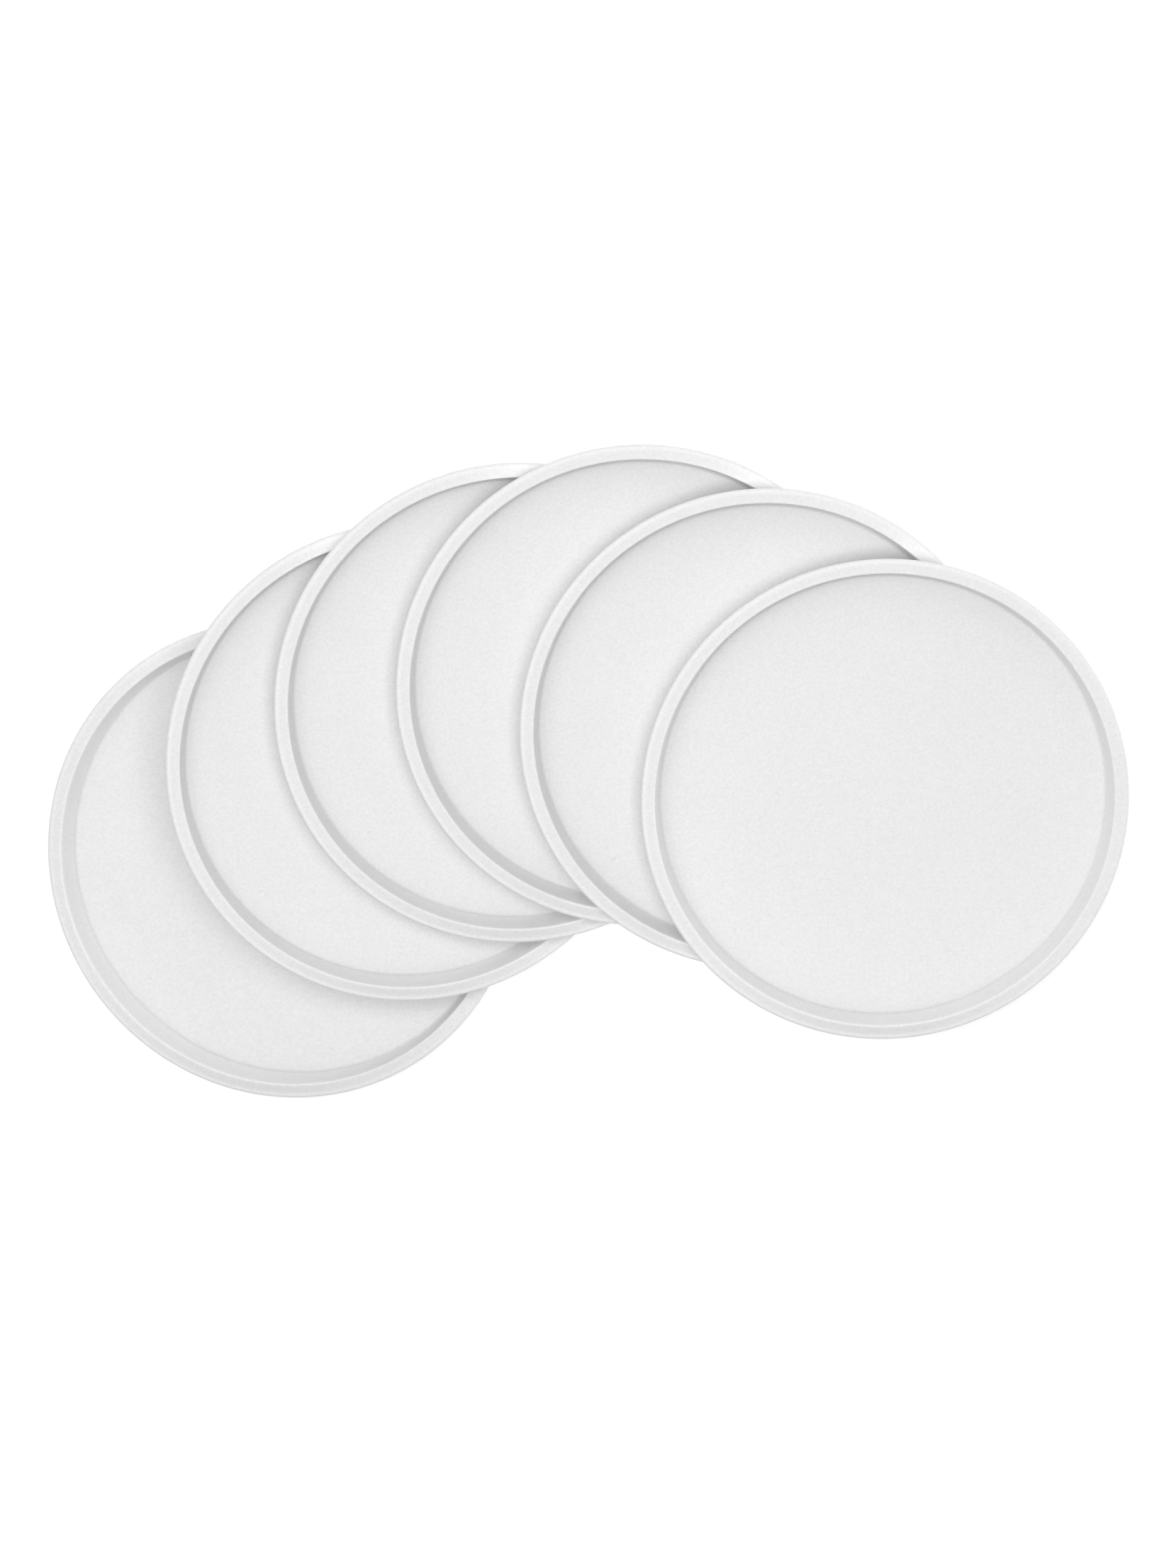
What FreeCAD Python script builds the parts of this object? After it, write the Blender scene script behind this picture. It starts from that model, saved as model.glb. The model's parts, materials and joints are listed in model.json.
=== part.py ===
import FreeCAD, Part
import math
import os

# A set of six round silicone coaster moulds, spread like a hand of cards.
#
# Millimetres, +Z up. The table is z = 0 and the origin is the middle of the set's footprint.
# Mould 1 lies flat. Moulds 2 to 6 lean over the one before, all at one tilt, each with its underside
# on the rim below it and its right-hand edge on the table or less than a millimetre above it.
#
# In a mould's own frame its underside is z = 0 and its axis is Z.

# One mould, as it is cast in one piece.
RIM_RADIUS = 52.0
FOOT_RADIUS = 50.3
CAVITY_RADIUS = 48.8
HEIGHT = 8.0
FLOOR_THICKNESS = 1.5
CAVITY_DRAFT_DEG = 12.0

# Rounded edges of a mould.
FOOT_ROUND = 0.8
OUTER_RIM_ROUND = 0.8
INNER_RIM_ROUND = 0.45
FLOOR_ROUND = 0.8

# The small round mark that the casting gate leaves in the cavity floor.
GATE_MARK_X = -31.0
GATE_MARK_Y = -29.0
GATE_MARK_RADIUS = 0.6
GATE_MARK_DEPTH = 0.15

# The spread: how far each mould lies down the slope, and to the side, of the one under it.
SLOPE_STEPS = [22.5, 25.3, 25.7, 25.1]
SIDE_STEPS = [14.0, 5.1, -8.2, -13.9]
FIRST_SIDE_STEP = 25.7
STACK_GAP = 0.05
LEAN_GAP = 0.3

PITCH = HEIGHT + STACK_GAP
TILT = math.atan(len(SLOPE_STEPS) * PITCH / sum(SLOPE_STEPS))

DOWN_SLOPE = FreeCAD.Vector(math.cos(TILT), 0, -math.sin(TILT))
SIDEWAYS = FreeCAD.Vector(0, 1, 0)
OUT_OF_SLOPE = FreeCAD.Vector(math.sin(TILT), 0, math.cos(TILT))


def corner_arc(before, corner, after, radius):
    """Start, middle and end of the arc that rounds a corner between two straight lines."""
    to_before = (before - corner).normalize()
    to_after = (after - corner).normalize()
    half_angle = to_before.getAngle(to_after) / 2
    bisector = (to_before + to_after).normalize()
    setback = radius / math.tan(half_angle)
    centre = corner + bisector * (radius / math.sin(half_angle))
    return corner + to_before * setback, centre - bisector * radius, corner + to_after * setback


def rounded_outline(corners):
    """A closed wire in the XZ plane through (radius, height, rounding) corners."""
    points = [FreeCAD.Vector(radius, 0, height) for radius, height, _ in corners]
    edges = []
    stretches = []
    for i, (_, _, rounding) in enumerate(corners):
        corner = points[i]
        if rounding == 0:
            stretches.append((corner, corner))
            continue
        start, middle, end = corner_arc(points[i - 1], corner, points[i + 1], rounding)
        edges.append(Part.Arc(start, middle, end).toShape())
        stretches.append((start, end))
    for i, (_, end) in enumerate(stretches):
        next_start = stretches[(i + 1) % len(stretches)][0]
        edges.append(Part.makeLine(end, next_start))
    return Part.Wire(Part.sortEdges(edges)[0])


def mould_body():
    """The tray turned about its axis: floor, drafted walls and rounded rim."""
    depth = HEIGHT - FLOOR_THICKNESS
    cavity_foot_radius = CAVITY_RADIUS - depth * math.tan(math.radians(CAVITY_DRAFT_DEG))
    outline = rounded_outline([
        (0, 0, 0),
        (FOOT_RADIUS, 0, FOOT_ROUND),
        (RIM_RADIUS, HEIGHT, OUTER_RIM_ROUND),
        (CAVITY_RADIUS, HEIGHT, INNER_RIM_ROUND),
        (cavity_foot_radius, FLOOR_THICKNESS, FLOOR_ROUND),
        (0, FLOOR_THICKNESS, 0),
    ])
    return Part.Face(outline).revolve(FreeCAD.Vector(0, 0, 0), FreeCAD.Vector(0, 0, 1), 360)


def gate_mark():
    """A shallow ball cut for the gate mark."""
    ball_radius = (GATE_MARK_RADIUS ** 2 + GATE_MARK_DEPTH ** 2) / (2 * GATE_MARK_DEPTH)
    height = FLOOR_THICKNESS - GATE_MARK_DEPTH + ball_radius
    return Part.makeSphere(ball_radius, FreeCAD.Vector(GATE_MARK_X, GATE_MARK_Y, height))


def placed(shape, placement):
    """A copy of a shape at a placement."""
    copy = shape.copy()
    copy.Placement = placement
    return copy


def turned_box(shape, angle):
    """The exact box of a shape turned about the Y axis."""
    turn = FreeCAD.Rotation(SIDEWAYS, math.degrees(angle))
    return placed(shape, FreeCAD.Placement(FreeCAD.Vector(0, 0, 0), turn)).optimalBoundingBox(False, False)


def first_leaning_centre(mould):
    """Underside centre of mould 2, with mould 1 at the origin.

    Its foot meets the table and its underside passes just over mould 1's rim.
    """
    height = -turned_box(mould, TILT).ZMin
    underside = turned_box(mould, -TILT).ZMax + LEAN_GAP
    x = (underside - height * OUT_OF_SLOPE.z) / OUT_OF_SLOPE.x
    return FreeCAD.Vector(x, FIRST_SIDE_STEP, height)


def mould_placements(mould):
    """Where each mould stands, from the flat one at the bottom to the last of the spread."""
    level = FreeCAD.Rotation()
    leaning = FreeCAD.Rotation(SIDEWAYS, math.degrees(TILT))
    placements = [FreeCAD.Placement(FreeCAD.Vector(0, 0, 0), level)]
    centre = first_leaning_centre(mould)
    placements.append(FreeCAD.Placement(centre, leaning))
    for down, side in zip(SLOPE_STEPS, SIDE_STEPS):
        centre = centre + DOWN_SLOPE * down + SIDEWAYS * side + OUT_OF_SLOPE * PITCH
        placements.append(FreeCAD.Placement(centre, leaning))
    return placements


def main():
    os.makedirs("parts", exist_ok=True)
    mould = mould_body().cut(gate_mark())
    moulds = [placed(mould, placement) for placement in mould_placements(mould)]
    footprint = Part.makeCompound(moulds).optimalBoundingBox(False, False)
    to_origin = FreeCAD.Vector(-footprint.Center.x, -footprint.Center.y, 0)
    for number, shape in enumerate(moulds, start=1):
        shape.translate(to_origin)
        shape.exportStep(f"parts/coaster_mould_{number}.step")


main()
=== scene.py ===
import json
import math

import bmesh
import bpy
from mathutils import Matrix, Vector, noise


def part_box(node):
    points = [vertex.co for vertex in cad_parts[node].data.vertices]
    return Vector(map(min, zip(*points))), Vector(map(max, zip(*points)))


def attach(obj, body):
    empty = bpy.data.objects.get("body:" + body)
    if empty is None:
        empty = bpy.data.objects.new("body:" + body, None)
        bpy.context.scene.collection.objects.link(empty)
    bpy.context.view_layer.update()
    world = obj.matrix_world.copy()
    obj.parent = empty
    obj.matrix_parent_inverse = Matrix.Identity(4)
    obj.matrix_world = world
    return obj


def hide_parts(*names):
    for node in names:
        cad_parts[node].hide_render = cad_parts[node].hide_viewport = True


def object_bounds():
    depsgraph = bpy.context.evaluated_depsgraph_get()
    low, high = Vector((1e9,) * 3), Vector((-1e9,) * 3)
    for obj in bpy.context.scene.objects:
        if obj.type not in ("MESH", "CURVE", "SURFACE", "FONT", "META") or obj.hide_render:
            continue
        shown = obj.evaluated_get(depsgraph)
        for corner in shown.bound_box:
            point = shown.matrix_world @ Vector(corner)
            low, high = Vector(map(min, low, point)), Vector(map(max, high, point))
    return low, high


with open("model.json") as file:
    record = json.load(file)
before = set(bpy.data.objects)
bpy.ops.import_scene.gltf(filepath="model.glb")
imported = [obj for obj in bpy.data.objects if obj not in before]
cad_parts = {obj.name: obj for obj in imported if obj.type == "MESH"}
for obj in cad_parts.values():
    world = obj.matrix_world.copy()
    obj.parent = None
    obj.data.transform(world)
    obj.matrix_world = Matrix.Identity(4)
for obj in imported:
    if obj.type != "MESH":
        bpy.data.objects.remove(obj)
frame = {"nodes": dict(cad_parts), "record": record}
CAD_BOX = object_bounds()

MM = 0.001
FLAT_MOULD = "coaster_mould_1"
LEANING_MOULD = "coaster_mould_2"

# Section of a mould, in millimetres from its axis and its underside, as the CAD has it.
FOOT_INSET = 1.7
RIM_WIDTH = 3.2
FLOOR_THICKNESS = 1.5
CAVITY_DRAFT = math.radians(12.0)
FOOT_ROUND = 0.8
OUTER_RIM_ROUND = 0.8
INNER_RIM_ROUND = 0.45
FLOOR_ROUND = 0.8

# How finely a mould is turned.
TURN_STEPS = 360
ARC_STEPS = 10
FLOOR_RINGS = 30
OUTER_WALL_STEPS = 64
WALL_STEPS = 8
FOOT_RINGS = 10

# The gate mark on the cavity floor, in millimetres in the mould's own frame.
GATE_MARK = Vector((-31.0, -29.0))
GATE_MARK_RADIUS = 0.6
GATE_MARK_DEPTH = 0.15
GATE_MARK_LIP = 0.05

# The lip's place and width, as shares of the mark's radius, and how far round the mark the mesh is split.
LIP_PLACE = 1.25
LIP_WIDTH = 0.28
MARK_SPLITS = [(3.2, 2), (1.6, 3)]

# Soft unevenness of the moulded silicone, all of it inwards, in millimetres.
RIM_WAVE = 0.05
WALL_WAVE = 0.10
FLOOR_WAVE = 0.04
SEAM_HEIGHT = 6.6
SEAM_WIDTH = 0.12
SEAM_RISE = 0.03

# How quickly the waves change: round a mould for its rim and walls, and per millimetre for its floor.
RIM_WAVE_RATE = 1.3
WALL_WAVE_RATE = 1.6
FLOOR_WAVE_RATE = 0.035
RIM_WAVE_SHIFT = Vector((7, 3, 0))
FLOOR_WAVE_SHIFT = 40

# The top of the rim is a little hollow, and at the front of the mould it rolls off outwards.
FRONT_ANGLE = math.radians(-90)
RIM_DISH = 0.04
RIM_ROLL = 0.22
ROLL_SPREAD = math.radians(26)

# Light and shade painted into the silicone's colour: painted shade makes it greyer where the floor meets
# the wall, painted highlights make it paler on the rim's two edges, and painted shade makes it greyer
# between those edges at the front. The margins tell the floor and the rim from the walls.
PAINTED_CORNER_SHADE = 0.18
PAINTED_SHADE_SIDE_SHARE = 0.6
PAINTED_SHADE_REACH = 4.0
PAINTED_SHADE_FAR_REACH = 1.0
PAINTED_EDGE_HIGHLIGHT = 0.035
BRIGHTEST_HIGHLIGHT_ANGLE = math.radians(150)
PAINTED_HIGHLIGHT_WIDTH = 0.4
PAINTED_FRONT_SHADE = 0.11
PAINTED_FRONT_SHADE_SPREAD = math.radians(38)
FLOOR_MARGIN = 0.5
RIM_MARGIN = 0.7


# ---------------------------------------------------------------- where the moulds are

def biggest_face_normal(mesh):
    """The direction that most of a mesh's area faces: out of the underside of a mould."""
    area = {}
    for polygon in mesh.polygons:
        key = tuple(round(c, 3) for c in polygon.normal)
        area[key] = area.get(key, 0.0) + polygon.area
    return Vector(max(area, key=area.get)).normalized()


def mould_frame(node):
    """The matrix that takes a mould from its own frame, underside at z = 0, to its place."""
    mesh = frame["nodes"][node].data
    axis = -biggest_face_normal(mesh)
    side = Vector((0, 1, 0))
    down = side.cross(axis).normalized()
    along = [[v.co.dot(d) for v in mesh.vertices] for d in (down, side, axis)]
    centre = down * (min(along[0]) + max(along[0])) / 2
    centre += side * (min(along[1]) + max(along[1])) / 2
    centre += axis * min(along[2])
    turn = Matrix((down, side, axis)).transposed().to_4x4()
    return Matrix.Translation(centre) @ turn


flat_low, flat_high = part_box(FLAT_MOULD)
HEIGHT = (flat_high.z - flat_low.z) / MM

# The rounding of the outer rim leaves the widest point a little inside the corner that it rounds.
OUTER_LEAN = math.atan2(FOOT_INSET, HEIGHT)
ROUNDED_OFF = OUTER_RIM_ROUND * (math.tan(OUTER_LEAN) + 1 / math.cos(OUTER_LEAN) - 1)
RIM_RADIUS = (flat_high.x - flat_low.x) / 2 / MM + ROUNDED_OFF


# ---------------------------------------------------------------- the shape of a mould

def rounded_corner(before, corner, after, radius):
    """Points along the arc that rounds a corner of an outline."""
    to_before = (before - corner).normalized()
    to_after = (after - corner).normalized()
    half = to_before.angle(to_after) / 2
    bisector = (to_before + to_after).normalized()
    centre = corner + bisector * (radius / math.sin(half))
    start = corner + to_before * (radius / math.tan(half)) - centre
    end = corner + to_after * (radius / math.tan(half)) - centre
    sweep = start.angle(end)
    points = []
    for i in range(ARC_STEPS + 1):
        t = i / ARC_STEPS
        blend = start * math.sin((1 - t) * sweep) + end * math.sin(t * sweep)
        points.append(centre + blend / math.sin(sweep))
    return points


def between(start, end, steps):
    """Points inside a straight stretch of an outline."""
    return [start.lerp(end, i / steps) for i in range(1, steps)]


def mould_section():
    """The section as (radius, height) points, from the underside's middle round to the floor's."""
    depth = HEIGHT - FLOOR_THICKNESS
    cavity = RIM_RADIUS - RIM_WIDTH
    corners = [
        Vector((0, 0)),
        Vector((RIM_RADIUS - FOOT_INSET, 0)),
        Vector((RIM_RADIUS, HEIGHT)),
        Vector((cavity, HEIGHT)),
        Vector((cavity - depth * math.tan(CAVITY_DRAFT), FLOOR_THICKNESS)),
        Vector((0, FLOOR_THICKNESS)),
    ]
    rounds = [FOOT_ROUND, OUTER_RIM_ROUND, INNER_RIM_ROUND, FLOOR_ROUND]
    steps = [FOOT_RINGS, OUTER_WALL_STEPS, WALL_STEPS, WALL_STEPS, FLOOR_RINGS]
    points = [corners[0]]
    for i, radius in enumerate(rounds, start=1):
        arc = rounded_corner(corners[i - 1], corners[i], corners[i + 1], radius)
        points += between(points[-1], arc[0], steps[i - 1])
        points += arc
    points += between(points[-1], corners[-1], steps[-1])
    points.append(corners[-1])
    return points


def rim_hollow(radius, height, angle):
    """How far a point of the rim lies below a flat one, in millimetres."""
    across = (radius - RIM_RADIUS + RIM_WIDTH) / RIM_WIDTH
    if not 0 < across < 1:
        return 0.0
    share_up = max(0.0, 1 - (HEIGHT - height) / OUTER_RIM_ROUND)
    dish = RIM_DISH * math.sin(math.pi * across) ** 2
    off_front = math.remainder(angle - FRONT_ANGLE, 2 * math.pi) / ROLL_SPREAD
    roll = RIM_ROLL * across * math.exp(-off_front ** 2)
    return share_up * (dish + roll)


def unevenness(radius, height, angle, seed):
    """How far a surface point moves in and down, in millimetres, on a soft moulding."""
    around = Vector((math.cos(angle), math.sin(angle), seed))
    share_up = height / HEIGHT
    inward = WALL_WAVE * share_up * (0.5 + 0.5 * noise.noise(around * WALL_WAVE_RATE))
    seam = SEAM_RISE * math.exp(-((height - SEAM_HEIGHT) / SEAM_WIDTH) ** 2)
    if radius > RIM_RADIUS - RIM_WIDTH / 2:
        inward -= seam
    rim_share = max(0.0, share_up * 2 - 1)
    down = RIM_WAVE * rim_share * (0.5 + 0.5 * noise.noise(around * RIM_WAVE_RATE + RIM_WAVE_SHIFT))
    return inward, down + rim_hollow(radius, height, angle)


def floor_rise(x, y, seed):
    """The height of the gate mark and the soft unevenness at a point of the cavity floor."""
    rise = FLOOR_WAVE * noise.noise(Vector((x, y, FLOOR_WAVE_SHIFT * seed)) * FLOOR_WAVE_RATE)
    distance = (Vector((x, y)) - GATE_MARK).length / GATE_MARK_RADIUS
    if distance < 1:
        rise -= GATE_MARK_DEPTH * (1 - distance ** 2)
    rise += GATE_MARK_LIP * math.exp(-((distance - LIP_PLACE) / LIP_WIDTH) ** 2)
    return rise


def tone(radius, height, angle):
    """The factor of painted shade and painted highlight that scales the silicone's colour at a point of a
    mould.
    """
    floor_edge = RIM_RADIUS - RIM_WIDTH - (HEIGHT - FLOOR_THICKNESS) * math.tan(CAVITY_DRAFT)
    # Painted shade on the floor at the foot of the wall, deepest at the far and near sides and widest at
    # the far side.
    if abs(height - FLOOR_THICKNESS) < FLOOR_MARGIN and radius < floor_edge + FLOOR_MARGIN:
        strength = PAINTED_SHADE_SIDE_SHARE + (1 - PAINTED_SHADE_SIDE_SHARE) * math.sin(angle) ** 2
        reach = PAINTED_SHADE_REACH + PAINTED_SHADE_FAR_REACH * math.sin(angle)
        return 1 - PAINTED_CORNER_SHADE * strength * math.exp(-max(0.0, floor_edge - radius) / reach)
    # Painted highlights on the rim's two edges, brightest towards the far left of the mould, and painted
    # shade across the rim at its front.
    if height > HEIGHT - RIM_MARGIN:
        to_edge = min(abs(radius - RIM_RADIUS + RIM_WIDTH), abs(radius - RIM_RADIUS + OUTER_RIM_ROUND))
        edge = math.exp(-(to_edge / PAINTED_HIGHLIGHT_WIDTH) ** 2)
        # Painted shade on the rim's top at the front of the mould, between its two edges.
        off_front = math.remainder(angle - FRONT_ANGLE, 2 * math.pi) / PAINTED_FRONT_SHADE_SPREAD
        front = math.exp(-off_front ** 2)
        painted_highlight = PAINTED_EDGE_HIGHLIGHT * (1 + math.cos(angle - BRIGHTEST_HIGHLIGHT_ANGLE))
        return 1 + painted_highlight * edge - PAINTED_FRONT_SHADE * front * (1 - edge)
    return 1.0


def refine_gate_mark(bm):
    """Splits the floor's faces near the gate mark, so that the mark is in the mesh."""
    for reach, cuts in MARK_SPLITS:
        near = [
            edge for edge in bm.edges
            if all(
                abs(v.co.z - FLOOR_THICKNESS) < 0.01 and (v.co.xy - GATE_MARK).length < reach
                for v in edge.verts
            )
        ]
        bmesh.ops.subdivide_edges(bm, edges=near, cuts=cuts, use_grid_fill=True)


def mould_mesh(name, seed):
    """One mould, turned from its section, with its gate mark, seam and soft unevenness."""
    section = mould_section()
    bm = bmesh.new()
    rings = []
    for radius, height in section[1:-1]:
        ring = []
        for k in range(TURN_STEPS):
            angle = 2 * math.pi * k / TURN_STEPS
            ring.append(bm.verts.new((radius * math.cos(angle), radius * math.sin(angle), height)))
        rings.append(ring)
    under_middle = bm.verts.new((0, 0, section[0].y))
    floor_middle = bm.verts.new((0, 0, section[-1].y))
    for k in range(TURN_STEPS):
        following = (k + 1) % TURN_STEPS
        for inner, outer in zip(rings, rings[1:]):
            bm.faces.new((inner[k], inner[following], outer[following], outer[k]))
        bm.faces.new((under_middle, rings[0][following], rings[0][k]))
        bm.faces.new((floor_middle, rings[-1][k], rings[-1][following]))
    bmesh.ops.recalc_face_normals(bm, faces=bm.faces)
    refine_gate_mark(bm)
    # Painted shade and painted highlights, stored per point as the factor that scales the silicone's
    # colour.
    painted_light_layer = bm.verts.layers.float.new("tone")
    for vert in bm.verts:
        x, y, height = vert.co
        radius = math.hypot(x, y)
        vert[painted_light_layer] = tone(radius, height, math.atan2(y, x))
        if height > FLOOR_THICKNESS + 0.01 or radius > RIM_RADIUS - RIM_WIDTH:
            inward, down = unevenness(radius, height, math.atan2(y, x), seed)
            vert.co.xy *= (radius - inward) / radius
            vert.co.z -= down
        elif height > FLOOR_THICKNESS - 0.01:
            vert.co.z += floor_rise(x, y, seed)
    bmesh.ops.scale(bm, vec=(MM, MM, MM), verts=bm.verts)
    mesh = bpy.data.meshes.new(name)
    bm.to_mesh(mesh)
    bm.free()
    for polygon in mesh.polygons:
        polygon.use_smooth = True
    return mesh


# ---------------------------------------------------------------- materials

def node(tree, kind, **inputs):
    """A shader node with some of its inputs set or linked, by socket name."""
    made = tree.nodes.new(kind)
    for name, value in inputs.items():
        socket = made.inputs[name.replace("_", " ")]
        if isinstance(value, bpy.types.NodeSocket):
            tree.links.new(value, socket)
        else:
            socket.default_value = value
    return made


def ramp(tree, factor, stops):
    """A colour ramp with the given (position, grey level) stops."""
    made = node(tree, "ShaderNodeValToRGB", Fac=factor)
    elements = made.color_ramp.elements
    while len(elements) < len(stops):
        elements.new(0.5)
    for element, (position, level) in zip(elements, stops):
        element.position = position
        element.color = (level, level, level, 1)
    return made.outputs["Color"]


def silicone():
    """Matt, slightly translucent white silicone with a fine moulded grain."""
    material = bpy.data.materials.new("white_silicone")
    material.use_nodes = True
    tree = material.node_tree
    shader = tree.nodes["Principled BSDF"]
    place = tree.nodes.new("ShaderNodeTexCoord").outputs["Object"]

    grain = node(tree, "ShaderNodeTexNoise", Vector=place, Scale=2600.0, Detail=2.0, Roughness=0.6)
    cloud = node(tree, "ShaderNodeTexNoise", Vector=place, Scale=55.0, Detail=4.0, Roughness=0.55)
    speck = node(tree, "ShaderNodeTexNoise", Vector=place, Scale=1700.0, Detail=3.0, Roughness=0.7)

    white = ramp(tree, speck.outputs["Fac"], [(0.34, 0.835), (0.50, 0.872), (0.66, 0.905)])
    shade = ramp(tree, cloud.outputs["Fac"], [(0.30, 0.985), (0.65, 1.0)])
    colour = node(tree, "ShaderNodeMix")
    colour.data_type = "RGBA"
    colour.blend_type = "MULTIPLY"
    colour.inputs["Factor"].default_value = 1.0
    tree.links.new(white, colour.inputs["A"])
    tree.links.new(shade, colour.inputs["B"])
    # The colour is scaled by the mesh's tone attribute: painted shade and painted highlights.
    painted_light_attribute = tree.nodes.new("ShaderNodeAttribute")
    painted_light_attribute.attribute_name = "tone"
    colour_with_painted_light = tree.nodes.new("ShaderNodeVectorMath")
    colour_with_painted_light.operation = "SCALE"
    tree.links.new(colour.outputs["Result"], colour_with_painted_light.inputs["Vector"])
    tree.links.new(painted_light_attribute.outputs["Fac"], colour_with_painted_light.inputs["Scale"])
    tree.links.new(colour_with_painted_light.outputs["Vector"], shader.inputs["Base Color"])

    rough = ramp(tree, cloud.outputs["Fac"], [(0.30, 0.58), (0.70, 0.68)])
    tree.links.new(rough, shader.inputs["Roughness"])

    fine = node(
        tree, "ShaderNodeBump", Height=grain.outputs["Fac"], Strength=0.25, Distance=0.00006,
    )
    broad = node(
        tree, "ShaderNodeBump", Height=cloud.outputs["Fac"], Strength=0.35, Distance=0.0002,
        Normal=fine.outputs["Normal"],
    )
    tree.links.new(broad.outputs["Normal"], shader.inputs["Normal"])

    shader.inputs["IOR"].default_value = 1.41
    shader.inputs["Subsurface Weight"].default_value = 0.6
    shader.inputs["Subsurface Radius"].default_value = (1.0, 1.0, 1.0)
    shader.inputs["Subsurface Scale"].default_value = 0.0005
    return material


def glowing_paper(name, colour, glow):
    """A matt backdrop that is a little over-lit, so that shadows on it stay faint."""
    material = bpy.data.materials.new(name)
    material.use_nodes = True
    tree = material.node_tree
    shader = tree.nodes["Principled BSDF"]
    place = tree.nodes.new("ShaderNodeTexCoord").outputs["Object"]
    fibre = node(tree, "ShaderNodeTexNoise", Vector=place, Scale=400.0, Detail=3.0)
    tone = ramp(tree, fibre.outputs["Fac"], [(0.3, colour * 0.97), (0.7, colour)])
    tree.links.new(tone, shader.inputs["Base Color"])
    shader.inputs["Roughness"].default_value = 0.9
    shader.inputs["Specular IOR Level"].default_value = 0.1
    shader.inputs["Emission Color"].default_value = (1, 1, 1, 1)
    shader.inputs["Emission Strength"].default_value = glow
    return material


# ---------------------------------------------------------------- the set of moulds

silicone_material = silicone()
for number, (body, nodes) in enumerate(frame["record"]["behaviour"]["bodies"].items(), start=1):
    for cad_node in nodes:
        name = f"silicone_mould_{number}"
        piece = bpy.data.objects.new(name, mould_mesh(name, number))
        bpy.context.scene.collection.objects.link(piece)
        piece.data.transform(mould_frame(cad_node))
        piece.data.materials.append(silicone_material)
        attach(piece, body)
        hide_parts(cad_node)


# ---------------------------------------------------------------- stage, light and camera

TABLE_SIZE = 12.0
TABLE_DROP = 0.0003

mesh = bpy.data.meshes.new("table_top")
half = TABLE_SIZE / 2
corners = [(x * half, y * half, -TABLE_DROP) for x, y in ((-1, -1), (1, -1), (1, 1), (-1, 1))]
mesh.from_pydata(corners, [], [(0, 1, 2, 3)])
table_top = bpy.data.objects.new("table_top", mesh)
bpy.context.scene.collection.objects.link(table_top)
mesh.materials.append(glowing_paper("white_paper", 0.7, 0.45))

SLOPE_NORMAL = mould_frame(LEANING_MOULD).to_3x3() @ Vector((0, 0, 1))
TILT = math.atan2(SLOPE_NORMAL.x, SLOPE_NORMAL.z)


def direction(lean_x, lean_y):
    """A direction up from the table, leant towards +X and then towards +Y, in radians."""
    return Vector((
        math.sin(lean_x) * math.cos(lean_y),
        math.sin(lean_y),
        math.cos(lean_x) * math.cos(lean_y),
    ))


def softbox(name, aim, towards, distance, side, watts):
    """A soft square light, facing aim, that the camera doesn't see."""
    light = bpy.data.lights.new(name, "AREA")
    light.shape = "RECTANGLE"
    light.size = side
    light.size_y = side
    light.energy = watts
    lamp = bpy.data.objects.new(name, light)
    bpy.context.scene.collection.objects.link(lamp)
    away = towards.normalized()
    across = Vector((0, 1, 0)).cross(away).normalized()
    lamp.matrix_world = Matrix.Translation(aim + away * distance) @ Matrix(
        (across, away.cross(across), away)
    ).transposed().to_4x4()
    lamp.visible_camera = False


def tent_side(name, aim, towards, strength):
    """The even light of one side of a white tent: far off, and without shadows."""
    light = bpy.data.lights.new(name, "SUN")
    light.energy = strength
    light.angle = TENT_SIDE_WIDTH
    light.use_shadow = False
    lamp = bpy.data.objects.new(name, light)
    bpy.context.scene.collection.objects.link(lamp)
    turn = towards.to_track_quat("Z", "Y").to_matrix().to_4x4()
    lamp.matrix_world = Matrix.Translation(aim + towards) @ turn


middle = (CAD_BOX[0] + CAD_BOX[1]) / 2

# The soft boxes: name, degrees leant from the slope's normal to the left and to the far side, distance
# and side in metres, and watts.
SOFTBOXES = [
    ("front_box", 4, 10, 3.0, 1.1, 43.0),
    ("left_box", 24, 10, 1.6, 0.8, 5.0),
]
for name, left, far, distance, side, watts in SOFTBOXES:
    softbox(name, middle, direction(TILT - math.radians(left), math.radians(far)), distance, side, watts)

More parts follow.
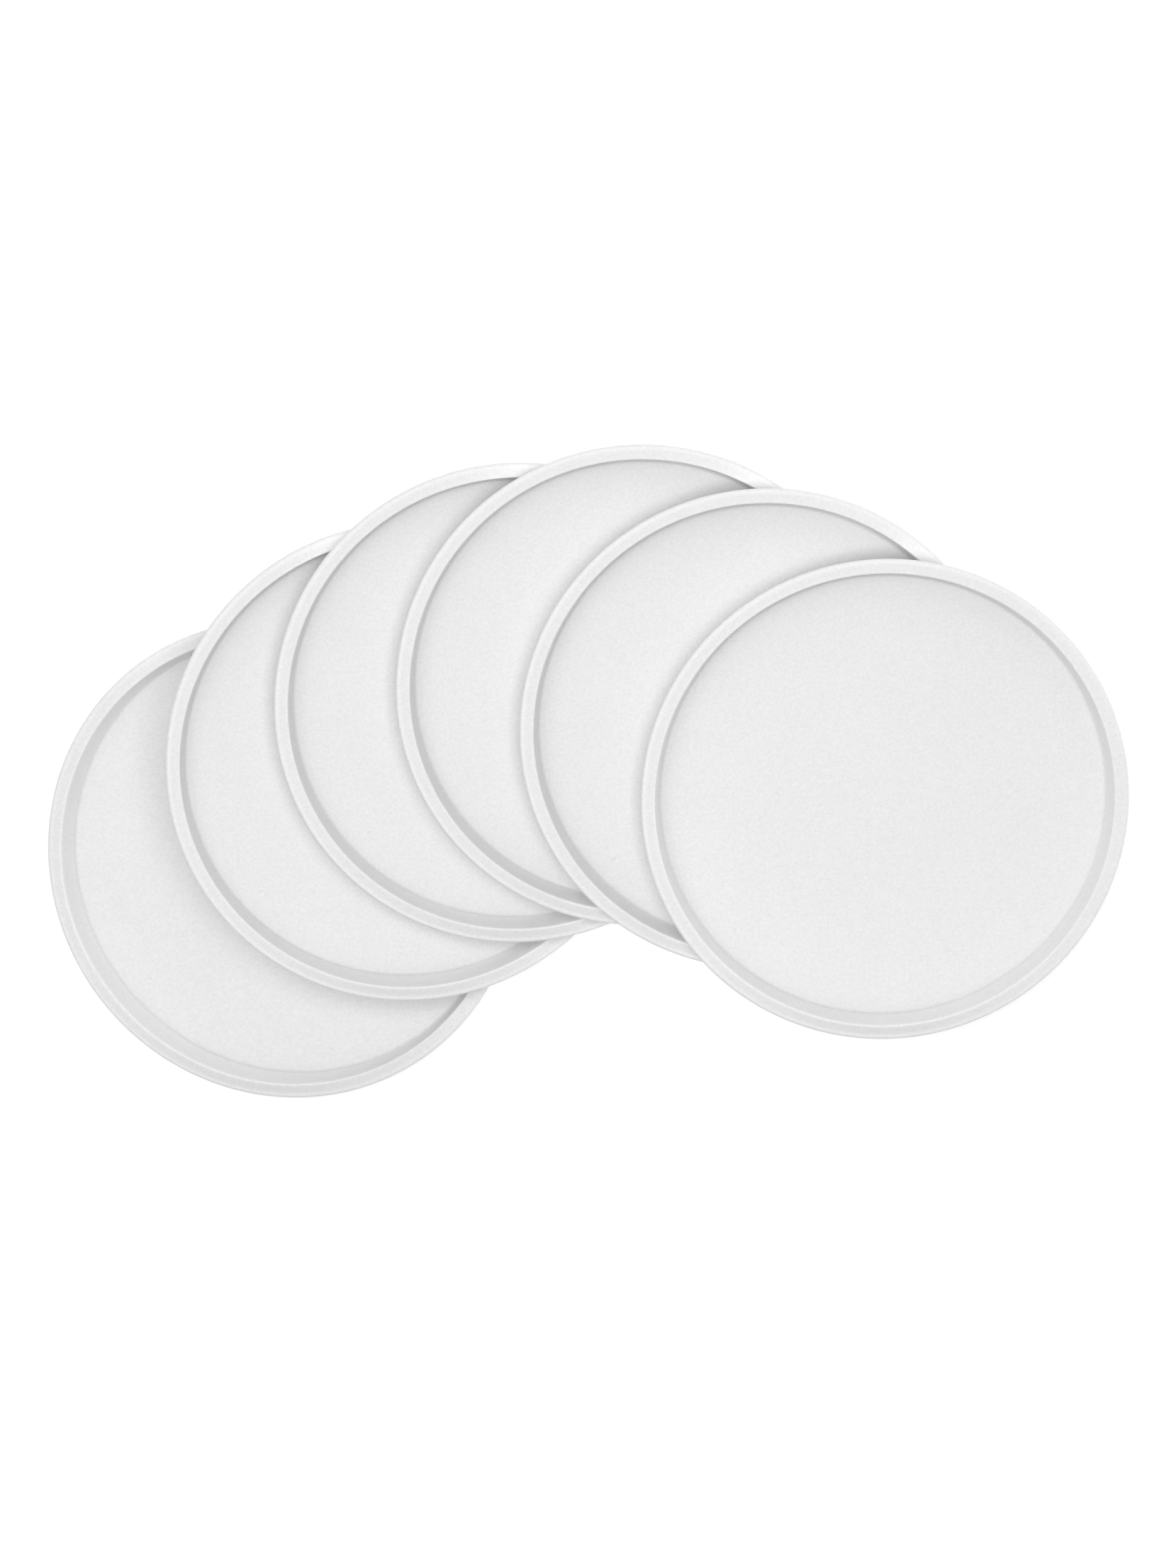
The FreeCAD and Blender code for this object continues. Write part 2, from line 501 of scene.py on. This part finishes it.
# The sides of the tent stand round the moulds' slope, the first to the right and the third at the far side.
TENT_LEAN = math.radians(62)
TENT_SIDE_WIDTH = math.radians(50)
TENT_STRENGTHS = [0.22, 0.19, 0.16, 0.20, 0.18, 0.12, 0.09, 0.14]
out_of_slope = direction(TILT, 0.0)
down_slope = Vector((math.cos(TILT), 0, -math.sin(TILT)))
for number, strength in enumerate(TENT_STRENGTHS):
    around = 2 * math.pi * number / len(TENT_STRENGTHS)
    outward = down_slope * math.cos(around) + Vector((0, 1, 0)) * math.sin(around)
    towards = out_of_slope * math.cos(TENT_LEAN) + outward * math.sin(TENT_LEAN)
    tent_side(f"tent_side_{number + 1}", middle, towards, strength)

world = bpy.data.worlds.new("studio")
bpy.context.scene.world = world
world.use_nodes = True
WORLD_LIGHT = 0.14
sky_tree = world.node_tree
backdrop = node(sky_tree, "ShaderNodeBackground", Color=(1, 1, 1, 1), Strength=1.0)
dome = node(sky_tree, "ShaderNodeBackground", Color=(1, 1, 1, 1), Strength=WORLD_LIGHT)
sight = sky_tree.nodes.new("ShaderNodeLightPath")
seen = sky_tree.nodes.new("ShaderNodeMixShader")
sky_tree.links.new(sight.outputs["Is Camera Ray"], seen.inputs["Fac"])
sky_tree.links.new(dome.outputs["Background"], seen.inputs[1])
sky_tree.links.new(backdrop.outputs["Background"], seen.inputs[2])
sky_tree.links.new(seen.outputs["Shader"], sky_tree.nodes["World Output"].inputs["Surface"])

# The camera looks almost straight into the leaning moulds, from a little above their far side.
VIEW_BACK = math.radians(4.0)
VIEW_OVER = math.radians(11.5)
LENS = 800.0
SENSOR = 36.0
FRAME_HEIGHT = 0.3322
AIM_RIGHT = 0.0035
AIM_UP = -0.0003

towards_camera = direction(TILT - VIEW_BACK, VIEW_OVER)
right = Vector((math.cos(TILT - VIEW_BACK), 0, -math.sin(TILT - VIEW_BACK)))
up = towards_camera.cross(right)
camera_data = bpy.data.cameras.new("camera")
camera_data.lens = LENS
camera_data.sensor_width = SENSOR
camera_data.clip_end = 50
camera = bpy.data.objects.new("camera", camera_data)
bpy.context.scene.collection.objects.link(camera)
bpy.context.scene.camera = camera
target = middle + right * AIM_RIGHT + up * AIM_UP
camera.matrix_world = Matrix.Translation(
    target + towards_camera * (FRAME_HEIGHT * LENS / SENSOR)
) @ Matrix((right, up, towards_camera)).transposed().to_4x4()

bpy.context.scene.view_settings.view_transform = "Standard"
bpy.context.scene.view_settings.look = "None"
